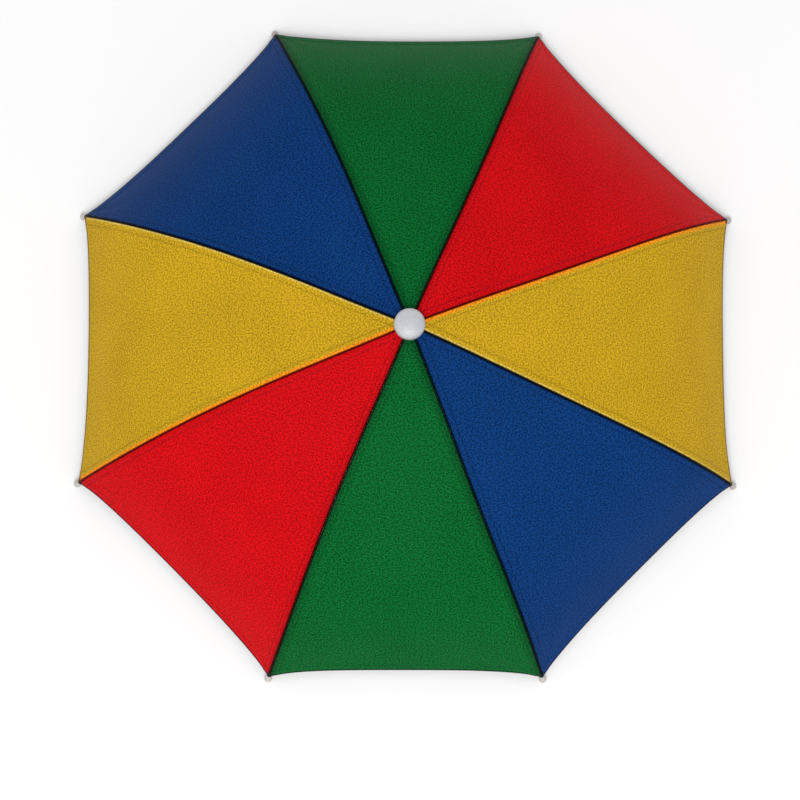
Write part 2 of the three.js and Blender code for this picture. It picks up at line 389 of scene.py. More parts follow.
def plasticFinish(name, code, shade, roughness, grainScale=700, grainDepth=0.00004, fleck=0.0):
    material, w = newFinish(name)
    place = w.node("ShaderNodeTexCoord", out=3)
    grain = noise(w, place, grainScale, 2.0)
    cloud = noise(w, place, 45, 2.0)
    share = near(w, cloud * 0.7 + grain * 0.3, 0.35, 0.65)
    colour = mixed(w, share, linear(code), linear(shade))
    if fleck:
        colour = toned(w, colour, 1 + (grain - 0.5) * fleck)
    surfaced(w, colour, roughness + (grain - 0.5) * 0.12, bumped(w, grain, grainDepth, 0.5))
    return material


elasticLooks = dict(dark="#141417", light="#3a3a3f", cord=0.0014, yarn=0.0009, fuzzScale=1500,
                    bumpDepth=0.00025, roughness=0.78)


def elasticFinish():  # woven black elastic: cords along its length, fine yarns across
    look = elasticLooks
    material, w = newFinish("blackElastic")
    weave = attribute(w, "weave", vector=True)
    along, across = xAndY(w, weave)
    cords = wave(w, across, look["cord"])
    yarns = wave(w, along, look["yarn"])
    fuzz = noise(w, weave, look["fuzzScale"], 2.0)
    height = cords * 0.5 + cords * yarns * 0.35 + fuzz * 0.3
    # painted shade: the grooves between the cords are darker and the raised cords paler
    shadedGrooves = near(w, height, -0.3, 0.8)
    colour = mixed(w, shadedGrooves, linear(look["light"]), linear(look["dark"]))
    surfaced(w, colour, look["roughness"] + fuzz * 0.15, bumped(w, height, look["bumpDepth"], 0.8),
             Specular_IOR_Level=0.3)
    return material


def threadFinish(name, code):
    material, w = newFinish(name)
    place = w.node("ShaderNodeTexCoord", out=3)
    ply = noise(w, place, 2500, 1.0)
    colour = toned(w, linear(code), 0.8 + ply * 0.4)
    surfaced(w, colour, 0.6 + ply * 0.1, bumped(w, ply, 0.00005, 0.5), Specular_IOR_Level=0.4)
    return material


clothFinishes = {name: clothFinish(name) for name in ("yellow", "red", "green", "blue")}
steel = steelFinish()
capPlastic, innerPlastic, beadPlastic = (
    plasticFinish(name, **look) for name, look in plasticLooks.items())
elastic = elasticFinish()
darkThread = threadFinish("darkThread", "#1a1820")
print("stage: finishes made")

# Camera at the photo's angle: nearly over the hat, a little to its front
view = dict(distance=1.400, elevation=83.02, sideways=-7.10, roll=-7.30, lens=86.19,
            aim=(-0.00441, -0.03607, 0))


def addCamera():
    e, a, roll = (math.radians(view[key]) for key in ("elevation", "sideways", "roll"))
    flatRight = Vector((math.cos(a), math.sin(a), 0))
    ahead = Vector((-math.sin(a) * math.cos(e), math.cos(a) * math.cos(e), -math.sin(e)))
    flatUp = Vector((-math.sin(a) * math.sin(e), math.cos(a) * math.sin(e), math.cos(e)))
    right = flatRight * math.cos(roll) - flatUp * math.sin(roll)
    up = flatRight * math.sin(roll) + flatUp * math.cos(roll)
    camera = bpy.data.objects.new("camera", bpy.data.cameras.new("camera"))
    camera.data.lens = view["lens"]
    turn = Matrix((right, up, -ahead)).transposed().to_4x4()
    place = Vector(view["aim"]) - ahead * view["distance"]
    camera.matrix_world = Matrix.Translation(place) @ turn
    bpy.context.scene.collection.objects.link(camera)
    bpy.context.scene.camera = camera


# Light: one large soft key, high on the front side, a fill from behind and a pale room
studio = dict(floorSize=9.0, floorColour="#fafafa", roomLight=0.63,
              lights=(dict(name="key", place=(-0.2, -1.4, 2.6), size=1.5, watts=44),
                      dict(name="fill", place=(0.9, 1.9, 2.4), size=2.4, watts=5)))


def addStudio():
    half = studio["floorSize"] / 2
    material, w = newFinish("paleFloor")
    place = w.node("ShaderNodeTexCoord", out=3)
    surfaced(w, toned(w, linear(studio["floorColour"]), 0.99 + noise(w, place, 3.0) * 0.02), 0.7)
    corners = [(-half, -half, 0), (half, -half, 0), (half, half, 0), (-half, half, 0)]
    mesh = bpy.data.meshes.new("floor")
    mesh.from_pydata(corners, [], [(0, 1, 2, 3)])
    mesh.materials.append(material)
    floor = bpy.data.objects.new("floor", mesh)
    bpy.context.scene.collection.objects.link(floor)
    room = bpy.data.worlds.new("room")
    room.use_nodes = True
    room.node_tree.nodes["Background"].inputs["Color"].default_value = (1, 1, 1, 1)
    room.node_tree.nodes["Background"].inputs["Strength"].default_value = studio["roomLight"]
    bpy.context.scene.world = room
    for each in studio["lights"]:
        lamp = bpy.data.objects.new(each["name"], bpy.data.lights.new(each["name"], "AREA"))
        lamp.data.size = each["size"]
        lamp.data.energy = each["watts"]
        lamp.location = each["place"]
        lamp.rotation_mode = "QUATERNION"
        lamp.rotation_quaternion = (-Vector(each["place"])).to_track_quat("-Z", "Y")
        bpy.context.scene.collection.objects.link(lamp)
    bpy.context.scene.view_settings.view_transform = "Standard"


addCamera()
addStudio()

# Gores: each one a thin sheet whose seam allowances turn under it, with a thicker sewn hem
cloth = dict(
    lift=2.30 * mm,        # from the rib's middle up to the cloth's middle at a seam
    sag=4 * mm, sagPower=2, sagFlatness=3,
    hemInset=5.6 * mm, cornerInset=3.3 * mm, cornerSharpness=8,
    thickness=0.3 * mm, hemThickness=0.75 * mm, hemWidth=5.5 * mm,
    foldRadius=0.4 * mm, allowance=4.6 * mm, seamHalfGap=0.03 * mm,
    foldShare=0.36,        # most of the gore's width that each fold takes, near the hole
    hemTuck=0.25, tuckReach=14 * mm,  # share of the allowance left at the hem, and over what length
    settle=0.3 * mm,       # how far the cloth comes down past the allowance under it
    settleReach=(4 * mm, 9 * mm),
    pucker=0.22 * mm, puckerLength=11 * mm, puckerReach=11 * mm, puckerSlant=0.55,
    ripple=0.35 * mm, tipDrop=0.7 * mm, tipDropReach=5 * mm,
    pull=0.25 * mm, pullLines=19, pullReach=34 * mm,
    seed=100, gorePatch=0.37,  # how far apart in the grain each gore is cut, in metres
    hiddenShift=9 * mm,        # takes the underside out of the seam's lines
    rows=116, columns=34,
    hemZone=10.2 * mm,         # closer rows from there on, at these millimetres from the hem
    hemRows=(0, 0.35, 0.8, 1.5, 2.4, 3.4, 4.4, 5.2, 5.8, 6.6, 8.0),
)


def foldOutline():
    # distance in from the seam and height, from the allowance's raw edge round to the top
    radius = cloth["foldRadius"]
    centre = radius + cloth["thickness"] / 2 + cloth["seamHalfGap"]
    low = [(cloth["allowance"] * share, -2 * radius) for share in (1, 0.8, 0.6, 0.42, 0.28)]
    turn = [(x, y - radius) for x, y in arc((centre, 0), radius, 270, 90, 7)]
    high = [(d * mm, 0) for d in (1.0, 1.6, 2.4, 3.4, 4.4, 5.4, 6.6, 8.2)]
    return np.array(low + turn + high), len(low) + len(turn) - 1


def goreSurface(across, radius):  # on the gore along +X; across is -1 at its left seam
    left, right = ribPoint(radius, halfPitch), ribPoint(radius, -halfPitch)
    point = left + (right - left) * ((across + 1) / 2)[..., None]
    dip = cloth["sag"] * (radius / canopy["tipReach"]) ** cloth["sagPower"] \
        * (1 - np.abs(across) ** cloth["sagFlatness"])
    normal = outward(radius, np.arctan2(point[..., 1], point[..., 0]))
    return point, normal, dip


def goreGrid(seed):
    # the cloth's middle surface with the distances that its finish needs
    fold, first = foldOutline()
    holeRadius = canopy["holeRadius"] / math.cos(halfPitch)
    fullLength = canopy["tipReach"] - holeRadius
    hemSteps = np.array(cloth["hemRows"]) * mm / fullLength
    plainSteps = np.linspace(0, 1 - cloth["hemZone"] / fullLength, cloth["rows"] - len(hemSteps))
    along = np.concatenate([plainSteps, 1 - hemSteps[::-1]])
    rough = holeRadius + along * (canopy["tipReach"] - cloth["hemInset"] - holeRadius)
    width = 2 * rough * math.sin(halfPitch)
    toHemRough = canopy["tipReach"] - cloth["hemInset"] - rough
    shrink = np.minimum(1, cloth["foldShare"] * width / fold[-1, 0])
    kept = cloth["hemTuck"]
    tuck = shrink * (kept + (1 - kept) * smooth(toHemRough, 0, cloth["tuckReach"]))
    under = np.arange(len(fold)) < first
    outermost = first - 4  # the fold's outermost line
    inFrom = fold[None, :, 0] * np.where(under[None], tuck[:, None], shrink[:, None])
    inFrom = np.maximum(inFrom, fold[outermost, 0])
    lift = np.repeat(fold[None, :, 1], len(along), 0)
    middle = np.sin(np.linspace(-1, 1, cloth["columns"] + 2)[1:-1] * math.pi / 2)
    edge = 1 - 2 * inFrom[:, -1] / width
    across = np.concatenate([-1 + 2 * inFrom / width[:, None], middle[None] * edge[:, None],
                             (1 - 2 * inFrom / width[:, None])[:, ::-1]], 1)
    lift = np.concatenate([lift, np.zeros((len(along), cloth["columns"])), lift[:, ::-1]], 1)
    middleOnes = np.zeros(cloth["columns"], bool)
    below = np.concatenate([under, middleOnes, under[::-1]])
    hidden = np.arange(len(fold)) < outermost  # what lies under that line
    hidden = np.concatenate([hidden, middleOnes, hidden[::-1]])
    corner = np.abs(across) ** cloth["cornerSharpness"]
    inset = cloth["hemInset"] + (cloth["cornerInset"] - cloth["hemInset"]) * corner
    radius = holeRadius + (canopy["tipReach"] - inset - holeRadius) * along[:, None]
    point, normal, dip = goreSurface(across, radius)
    seamWidth = 2 * radius * math.sin(halfPitch)
    toLeft, toRight = (1 + across) / 2 * seamWidth, (1 - across) / 2 * seamWidth
    toSeam = np.minimum(toLeft, toRight)
    steps = np.linalg.norm(np.diff(point, axis=0), axis=2)
    toHem = np.concatenate([np.cumsum(steps[::-1], 0)[::-1], np.zeros((1, steps.shape[1]))])
    fromHole = toHem[:1] - toHem
    tips = ribPoint(canopy["tipReach"], np.where(across < 0, halfPitch, -halfPitch))
    toTip = np.maximum(np.linalg.norm(point - tips, axis=2) - cloth["cornerInset"], 0)
    relief = goreRelief(seed, across, toSeam, toHem, fromHole, toTip)
    settled = -cloth["settle"] * smooth(toSeam, *cloth["settleReach"])
    rise = cloth["lift"] + lift - dip + np.where(below[None], 0, relief + settled) \
        - cloth["tipDrop"] * np.exp(-(toTip / cloth["tipDropReach"]) ** 2)
    away = {}
    for key, toSide in (("leftSeam", toLeft), ("rightSeam", toRight)):
        away[key] = np.where(hidden[None], toSide + cloth["hiddenShift"], toSide - cloth["foldRadius"])
    away.update(toHem=toHem, toTip=toTip)
    cutX = across * seamWidth / 2
    cut = np.stack([cutX + cloth["gorePatch"] * seed, fromHole, 0 * cutX], -1)
    return point + normal * rise[..., None], away, cut


def goreRelief(seed, across, toSeam, toHem, fromHole, toTip):
    # puckers that run in from the seams, pull lines from the tips and a slow ripple
    draw = np.random.default_rng(cloth["seed"] + seed)
    phase = np.zeros_like(toSeam)
    for k in range(5):
        size, start = draw.uniform(18, 60) * mm, draw.uniform(0, 2 * math.pi, 2)
        phase += draw.uniform(0.4, 0.9) * np.sin(fromHole / size + np.where(across < 0, *start))
    slant = fromHole - cloth["puckerSlant"] * toSeam
    puckers = np.sin(2 * math.pi * slant / cloth["puckerLength"] + phase)
    puckers = puckers * np.exp(-toSeam / cloth["puckerReach"])
    calm = smooth(fromHole, 8 * mm, 40 * mm) * smooth(toHem, 0, 12 * mm)
    uneven = 0.6 + 0.4 * np.sin(fromHole / (31 * mm) + phase)
    slow = sum(
        draw.uniform(0.4, 1) * np.sin(across * draw.uniform(2, 5) + draw.uniform(0, 6))
        * np.sin(fromHole / (draw.uniform(28, 60) * mm) + draw.uniform(0, 6)) for k in range(4))
    free = smooth(toSeam, 0, 25 * mm)
    turn = np.arctan2(toSeam, np.maximum(toTip, 1e-6))
    pull = cloth["pull"] * np.sin(turn * cloth["pullLines"] + draw.uniform(0, 6))
    pull = pull * np.exp(-toTip / cloth["pullReach"]) * smooth(toSeam, 1 * mm, 6 * mm)
    return (cloth["pucker"] * puckers * calm * uneven + cloth["ripple"] * 0.5 * slow * free
            + pull * smooth(toTip, 4 * mm, 14 * mm))


def goreFaces(rows, columns):  # top, underside, rounded hem, the hole's edge and the raw edges
    size, last = rows * columns, (rows - 1) * columns
    top = gridFaces(rows, columns)
    faces = top + [[size + k for k in face[::-1]] for face in top]
    for c in range(columns - 1):
        edge = 2 * size + c
        faces += [[last + c, last + c + 1, edge + 1, edge],
                  [edge, edge + 1, size + last + c + 1, size + last + c],
                  [c + 1, c, size + c, size + c + 1]]
    for c in (0, columns - 1):  # the raw edges of the allowances
        for r in range(rows - 1):
            here, beyond = r * columns + c, (r + 1) * columns + c
            faces.append([here, beyond, size + beyond, size + here])
        faces.append([last + c, 2 * size + c, size + last + c])
    return faces


def addGore(i):
    name = canopy["gores"][i]
    copy = canopy["gores"][:i].count(name) + 1
    grid, away, cut = goreGrid(i)
    hemStep = (cloth["hemWidth"] - 0.3 * mm, cloth["hemWidth"] + 0.5 * mm)
    thick = cloth["thickness"] + (cloth["hemThickness"] - cloth["thickness"]) \
        * (1 - smooth(away["toHem"], *hemStep))
    rowStep, columnStep = np.gradient(grid, axis=0), np.gradient(grid, axis=1)
    normal = unit(np.cross(rowStep, columnStep))
    if normal[len(grid) // 2, grid.shape[1] // 2, 2] < 0:
        normal = -normal
    outer, inner = (grid + normal * (sign * thick / 2)[..., None] for sign in (1, -1))
    hemEdge = grid[-1] + unit(rowStep[-1]) * thick[-1, :, None] * 0.45
    rows, columns = thick.shape
    turn = Matrix.Rotation(i * pitch, 4, "Z")
    points = placed(np.concatenate([outer.reshape(-1, 3), inner.reshape(-1, 3), hemEdge]), turn)
    piece = addPiece(f"cloth{name.capitalize()}{copy}", points, goreFaces(rows, columns),
                     clothFinishes[name], name + "_cloth", sharp=70, nodes=[f"gore_{name}_{copy}"])
    for key, value in dict(away, cut=cut).items():
        flat = value.reshape(rows * columns, *value.shape[2:])
        addAttribute(piece, key, np.concatenate([flat, flat, value[-1]]))
    one, two = grid[1:, 1:] - grid[:-1, :-1], grid[1:, :-1] - grid[:-1, 1:]
    area = float(np.linalg.norm(np.cross(one, two), axis=2).sum() / 2)
    widest = float(lengthsAlong(grid[-1])[-1])
    longest = float(lengthsAlong(grid[:, columns // 2])[-1])
    stitches = addHemStitches(f"hemStitches{name.capitalize()}{copy}", grid, normal, thick,
                              away["toHem"], turn, name)
    return widest, longest, area


stitch = dict(inFromHem=4.4 * mm, length=2.3 * mm, pitch=3.1 * mm, radius=0.13 * mm,
              freeColumns=12)  # of the cloth's grid beside each seam


def stitchBar(start, end, lift, radius):  # one stitch, whose ends go down into the cloth
    share = np.linspace(0, 1, 6)
    arch = np.sin(share * math.pi)
    path = start + (end - start) * share[:, None] + lift * (arch * radius * 1.6 - radius * 0.6)[:, None]
    return thread(path, radius, 5, sizes=0.55 + 0.45 * arch)


def addHemStitches(name, grid, normal, thick, toHem, turn, colour):
    row = int(np.argmin(np.abs(toHem[:, grid.shape[1] // 2] - stitch["inFromHem"])))
    bars = []
    for sign in (1, -1):
        line = grid[row] + normal[row] * (sign * thick[row] / 2)[:, None]
        inside = slice(stitch["freeColumns"], -stitch["freeColumns"])
        line, ups = line[inside], sign * normal[row][inside]
        reach = lengthsAlong(line)
        for start in np.arange(stitch["pitch"], reach[-1] - stitch["pitch"], stitch["pitch"]):
            at = [np.array([np.interp(s, reach, line[:, k]) for k in range(3)])
                  for s in (start, start + stitch["length"])]
            up = np.array([np.interp(start, reach, ups[:, k]) for k in range(3)])
            bars.append(stitchBar(at[0], at[1], up, stitch["radius"]))
    points, faces = joined(bars)
    return addPiece(name, placed(points, turn), faces, clothThreads[colour], colour + "_cloth")


clothThreads = {name: threadFinish(name + "Thread", code) for name, code in (
    ("yellow", "#b8922a"), ("red", "#b8141c"), ("green", "#155c34"), ("blue", "#1b3f7c"))}
for i in range(goreCount):
    sizes = addGore(i)
print("stage: gores made, each cut %.3f by %.3f m, %.4f square metres" % sizes)

# Ribs: steel channels, open below, whose ends sit in the beads
rib = dict(half=1.22 * mm, wall=0.4 * mm, leg=1.1 * mm, start=6.9 * mm, endInset=1.2 * mm, steps=72)


def channelOutline(size):
    half, inside, foot = size["half"], size["half"] - size["wall"], -size["leg"]
    return [(half, foot), *arc((0, 0), half, 0, 180, 8), (-half, foot),
            (-inside, foot), *arc((0, 0), inside, 180, 0, 8), (inside, foot)]


def ribLine(i, radii):
    azimuth = ribAzimuth(i)
    path = ribPoint(radii, azimuth)
    ups = outward(radii, azimuth)
    ahead = unit(np.gradient(path, axis=0))
    sides = unit(np.cross(ahead, ups))
    return path, sides, np.cross(sides, ahead)


def addRib(i):
    radii = np.linspace(rib["start"], canopy["tipReach"] - rib["endInset"], rib["steps"])
    points, faces = sweep(*ribLine(i, radii), channelOutline(rib))
    addPiece(f"ribSteel{i + 1}", points, faces, steel, "rib_steel", sharp=40, nodes=[f"rib_{i + 1}"])


# Stretchers: lighter channels, open above, forked round the rib and riveted through it
stretcher = dict(half=1.25 * mm, wall=0.4 * mm, leg=1.1 * mm, reach=172 * mm, hang=2.9 * mm,
                 start=7.0 * mm, stop=2.2 * mm, steps=40,
                 earFrom=9 * mm, earThick=0.55 * mm, earOut=1.28 * mm, earRadius=1.35 * mm,
                 earBack=1.0 * mm, earRim=0.12 * mm,
                 rivet=0.85 * mm, rivetHead=1.35 * mm, rivetDome=0.45 * mm, rivetSeat=0.02 * mm)
runnerLow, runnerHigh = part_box("runner")


def stretcherEnds():  # of the one along +X, which the others repeat
    outer = ribPoint(stretcher["reach"], 0.0) - outward(stretcher["reach"], 0.0) * stretcher["hang"]
    return np.array([stretcher["start"], 0, (runnerLow.z + runnerHigh.z) / 2]), outer


def earPlate(a, aRadius, b, bRadius, thick):  # a link's outline round two centres, in (along, up)
    gap = np.subtract(b, a)
    lean = math.degrees(math.atan2(gap[1], gap[0]))
    pinch = math.degrees(math.acos((aRadius - bRadius) / np.linalg.norm(gap)))
    outline = arc(a, aRadius, lean + pinch, lean + 360 - pinch, 8)
    outline += arc(b, bRadius, lean - pinch, lean + pinch, 10)
    rim, face = stretcher["earRim"], thick / 2
    middle = np.mean(outline, 0)
    spokes = np.array(outline) - middle
    inset = middle + spokes * (1 - rim / np.linalg.norm(spokes, axis=1, keepdims=True))
    layers = ((inset, -face), (outline, -face + rim), (outline, face - rim), (inset, face))
    points = np.array([(x, y, z) for ring, y in layers for x, z in ring])
    count = len(outline)
    faces = gridFaces(len(layers), count, aroundColumns=True)
    faces += [list(range(count)), [(len(layers) - 1) * count + k for k in range(count)]]
    return points, faces


def rivetPin(centre, radius, head, half):  # across the rib, with a low dome on each end
    rise, seat = stretcher["rivetDome"], half - stretcher["rivetSeat"]
    dome = [(0, half + rise)]
    dome += [(head * math.sin(a), half + rise * math.cos(a)) for a in np.radians((30, 60, 90))]
    dome.append((head, half))
    outline = dome + [(radius, seat), (radius, -seat)] + [(r, -z) for r, z in dome[::-1]]
    points, faces = turned(outline, 20)
    across = Matrix.Rotation(math.pi / 2, 4, "X")
    return placed(points, Matrix.Translation(Vector(centre)) @ across), faces


def addStretcher(i):
    inner, outer = stretcherEnds()
    ahead = unit(outer - inner)
    side = np.array([0, 1.0, 0])
    up = np.cross(side, ahead)
    up *= np.sign(up[2])
    steps = stretcher["steps"]
    stop = outer - ahead * stretcher["stop"]
    path = inner + (stop - inner) * np.linspace(0, 1, steps)[:, None]
    outline = [(x, -y) for x, y in channelOutline(stretcher)]
    body = sweep(path, np.repeat(side[None], steps, 0), np.repeat(up[None], steps, 0), outline)
    pin = ribPoint(stretcher["reach"], 0.0)
    back = outer - ahead * stretcher["earFrom"]
    ears = []
    for sign in (1, -1):
        points, faces = earPlate((back[0], back[2]), stretcher["earBack"], (pin[0], pin[2]),
                                 stretcher["earRadius"], stretcher["earThick"])
        points[:, 1] += pin[1] * smooth(points[:, 0], back[0], pin[0]) \
            + sign * (stretcher["earOut"] + stretcher["earThick"] / 2)
        ears.append((points, faces))
    half = stretcher["earOut"] + stretcher["earThick"]
    rivet = rivetPin(pin, stretcher["rivet"], stretcher["rivetHead"], half)
    points, faces = joined([body, *ears, rivet])
    points = placed(points, Matrix.Rotation(ribAzimuth(i), 4, "Z"))
    addPiece(f"stretcherSteel{i + 1}", points, faces, steel, "rib_steel", sharp=35,
             nodes=[f"stretcher_{i + 1}"])


# Beads: a ball with a neck and a sleeve, in whose bore the rib ends
bead = dict(radius=2.7 * mm, sleeve=2.2 * mm, neck=1.9 * mm, length=4.4 * mm, bore=1.5 * mm,
            # how far behind the ball's middle
            boreEnd=0.6 * mm, neckFrom=2.2 * mm, neckTo=2.45 * mm, sleeveFrom=2.9 * mm,
            neckSlant=0.08 * mm, bevel=(0.25 * mm, 0.3 * mm), lip=0.35 * mm,
            ball=(-42, 84), top=0.985, sides=32)


def beadMatrix(i):
    lean = math.pi / 2 - math.atan(ribSlope(canopy["tipReach"]))
    tip = Matrix.Translation(Vector(ribPoint(canopy["tipReach"], 0.0)))
    return Matrix.Rotation(ribAzimuth(i), 4, "Z") @ tip @ Matrix.Rotation(lean, 4, "Y")


def addBead(i):
    b = bead
    end, lip = -b["length"], b["lip"]
    bevelOut, bevelIn = b["bevel"]
    outline = [(0, -b["boreEnd"]), (b["bore"], -b["boreEnd"]), (b["bore"], end + bevelIn),
               (b["bore"] + bevelOut, end), (b["sleeve"] - lip, end)]
    outline += arc((b["sleeve"] - lip, end + lip), lip, -90, 0, 4)
    outline += [(b["sleeve"], -b["sleeveFrom"]), (b["neck"] + b["neckSlant"], -b["neckTo"]),
                (b["neck"], -b["neckFrom"])]
    outline += arc((0, 0), b["radius"], *b["ball"], 16) + [(0, b["radius"] * b["top"])]
    points, faces = turned(outline, b["sides"])
    addPiece(f"tipBead{i + 1}", placed(points, beadMatrix(i)), faces, beadPlastic, "white_plastic",
             sharp=50, nodes=[f"rib_tip_{i + 1}"])


# Thread: turns round each rib behind its bead with strands to the cloth's corners, and ties along it
tying = dict(radius=0.2 * mm, turns=4, turnStep=0.36 * mm, behindSleeve=0.3 * mm,
             # each strand's start, middle and end: back from the bead, up, and share of its spread
             strand=((3.6 * mm, 1.5 * mm, 0.5), (4.4 * mm, 2.0 * mm, 0.8), (6.4 * mm, 1.6 * mm, 1)),
             strandsEachSide=3, firstSpread=0.5, spreadStep=0.75, seed=40,
             tieAt=(62 * mm, 118 * mm, 226 * mm), tieTurns=2.5, tieCentre=1.2, tieTravel=0.2,
             tieTall=1.62 * mm, tieUp=0.15 * mm)


def tipCoil(i):
    turns = np.linspace(0, tying["turns"], tying["turns"] * 20)
    ring = rib["half"] + tying["radius"] * 1.6
    coil = np.stack([ring * np.cos(turns * 2 * math.pi), ring * np.sin(turns * 2 * math.pi),
                     -bead["length"] - (tying["behindSleeve"] + turns * tying["turnStep"])], -1)
    return thread(placed(coil, beadMatrix(i)), tying["radius"])


def tipStrand(i, spread):  # from the coil behind the sleeve up into the corner of the cloth
    tip = canopy["tipReach"]
    start, middle, end = (
        ribPoint(tip - back, 0.0) + outward(tip, 0.0) * up + np.array([0, spread * aside, 0])
        for back, up, aside in tying["strand"])
    share = np.linspace(0, 1, 8)[:, None]
    curve = start * (1 - share) ** 2 + 2 * middle * share * (1 - share) + end * share ** 2
    return thread(placed(curve, Matrix.Rotation(ribAzimuth(i), 4, "Z")), tying["radius"] * 0.8)


def ribTie(i, at):
    path, sides, ups = ribLine(i, np.array([at - 1 * mm, at, at + 1 * mm]))
    turns = np.linspace(0, tying["tieTurns"], 44)
    turn = turns * 2 * math.pi
    aside = (rib["half"] + tying["radius"]) * np.cos(turn)
    over = tying["tieTall"] * np.sin(turn) + tying["tieUp"]
    ahead = (turns - tying["tieCentre"]) * tying["tieTravel"]
    loop = (path[1] + sides[1] * aside[:, None] + ups[1] * over[:, None]
            + (path[2] - path[0]) * ahead[:, None])
    return thread(loop, tying["radius"] * 0.85, 5)


def addThreads(i):
    draw = random.Random(tying["seed"] + i)
    strands = [tipCoil(i)]
    for sign in (1, -1):
        for k in range(tying["strandsEachSide"]):
            strands.append(tipStrand(i, sign * (tying["firstSpread"] + tying["spreadStep"] * k) * mm))
    for at in tying["tieAt"]:
        strands.append(ribTie(i, at + draw.uniform(-3, 3) * mm))
    points, faces = joined(strands)
    addPiece(f"tyingThread{i + 1}", points, faces, darkThread, "black_elastic")


for i in range(goreCount):
    addRib(i)
    addStretcher(i)
    addBead(i)
    addThreads(i)
print("stage: ribs, stretchers, beads and threads made")

# Middle of the hat: cap, hub, runner, post and the wires that hold the ribs' and stretchers' eyes
capLow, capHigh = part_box("top_cap")
cap = dict(radius=(capHigh.x - capLow.x) / 2, top=capHigh.z, side=4 * mm, dome=5 * mm,
           lip=0.35 * mm, bore=4.4 * mm, wall=2.4 * mm, boreFoot=1.6 * mm, edgeWall=1.5 * mm,
           draft=(0.02 * mm, 0.12 * mm, 0.16 * mm),  # how far the side leans in, up to the dome
           domeSteps=22, domeFlatness=(0.78, 0.9), sides=72)
collar = dict(postRadius=4 * mm, bore=4.3 * mm, floor=6.3 * mm, clearance=0.3 * mm, bevel=0.45 * mm,
              barHalf=1.3 * mm, wire=0.45 * mm, wireRing=8.3 * mm, wireSides=96)
post = dict(soft=0.4 * mm, flange=3 * mm, collar=(2.3 * mm, 0.3 * mm),  # these two, down from the hub
            dimple=(2.2 * mm, 2.6 * mm), dimpleDepth=0.5 * mm, sides=48)


def addCap():
    c = cap
    shoulder = c["top"] - c["dome"]
    base = shoulder - c["side"]
    ceiling = c["top"] - c["wall"]
    low, high, domed = (c["radius"] - draft for draft in c["draft"])
    narrowing, rising = c["domeFlatness"]
    outline = [(0, ceiling), (c["bore"], ceiling), (c["bore"], base + c["boreFoot"]),
               (c["radius"] - c["edgeWall"], base + 0.1 * mm)]
    outline += arc((c["radius"] - c["lip"], base + c["lip"]), c["lip"], -90, 0, 4)
    outline += [(low, base + 1.4 * mm), (high, shoulder - 0.5 * mm)]
    for share in np.linspace(0, 1, c["domeSteps"])[:-1]:  # a soft edge that runs into a low dome
        angle = share * math.pi / 2
        outline.append((domed * math.cos(angle) ** narrowing,
                        shoulder + c["dome"] * math.sin(angle) ** rising))
    outline.append((0, c["top"]))
    points, faces = turned(outline, c["sides"])
    addPiece("domedCap", points, faces, capPlastic, "white_plastic", sharp=45, nodes=["top_cap"])


def addCollar(name, node):  # a bored ring with a notch for each rib or stretcher
    low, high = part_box(node)
    rim = (high.x - low.x) / 2
    half = collar["barHalf"] + collar["clearance"]
    mouth = math.asin(half / rim)
    outer = []
    for i in range(goreCount):
        azimuth = ribAzimuth(i)
        for k in np.linspace(azimuth - pitch + mouth, azimuth - mouth, 9):
            outer.append((rim * math.cos(k), rim * math.sin(k)))
        for sign in (-1, 1):
            outer.append((collar["floor"] * math.cos(azimuth) - sign * half * math.sin(azimuth),
                          collar["floor"] * math.sin(azimuth) + sign * half * math.cos(azimuth)))
    turns = [math.atan2(y, x) for x, y in outer]
    inner = [(collar["bore"] * math.cos(a), collar["bore"] * math.sin(a)) for a in turns]
    rings = [(inner, low.z), (outer, low.z), (outer, high.z), (inner, high.z)]
    points = [(x, y, z) for ring, z in rings for x, y in ring]
    faces = gridFaces(len(rings), len(outer), aroundRows=True, aroundColumns=True)
    piece = addPiece(name, points, faces, innerPlastic, "white_plastic", sharp=30, nodes=[node])
    bevel = piece.modifiers.new("softEdges", "BEVEL")
    bevel.width = collar["bevel"]
    bevel.segments = 3
    bevel.limit_method = "ANGLE"
    bevel.angle_limit = math.radians(40)


def addWireRing(name, height):
    flat = disc(collar["wireRing"], collar["wireSides"])
    ring = np.column_stack([flat, np.full(len(flat), height)])
    points, faces = thread(ring, collar["wire"], 10, closed=True)
    addPiece(name, points, faces, steel, "rib_steel")


def addPost():
    low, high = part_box("post")
    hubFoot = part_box("hub")[0].z
    flange = (high.x - low.x) / 2
    soft, radius = post["soft"], collar["postRadius"]
    dimpleTop, dimpleMouth = post["dimple"]
    collarLow, collarTop = (hubFoot - down for down in post["collar"])
    dimple = low.z + post["dimpleDepth"]
    outline = [(0, dimple), (dimpleTop, dimple), (dimpleMouth, low.z)]
    for bottom, top in ((low.z, low.z + post["flange"]), (collarLow, collarTop)):
        if bottom > low.z:
            outline.append((radius, bottom))
        outline += arc((flange - soft, bottom + soft), soft, -90, 0, 4)
        outline += arc((flange - soft, top - soft), soft, 0, 90, 4)
        outline.append((radius, top))
    outline += arc((radius - soft, high.z - soft), soft, 0, 90, 4) + [(0, high.z)]
    points, faces = turned(outline, post["sides"])
    addPiece("centrePost", points, faces, innerPlastic, "white_plastic", sharp=40, nodes=["post"])


addCap()
addCollar("ribHub", "hub")
addCollar("slidingRunner", "runner")
addWireRing("hubWire", float(ribHeight(collar["wireRing"])))
addWireRing("runnerWire", float(runnerLow.z + runnerHigh.z) / 2)
addPost()
print("stage: cap, hub, runner and post made")

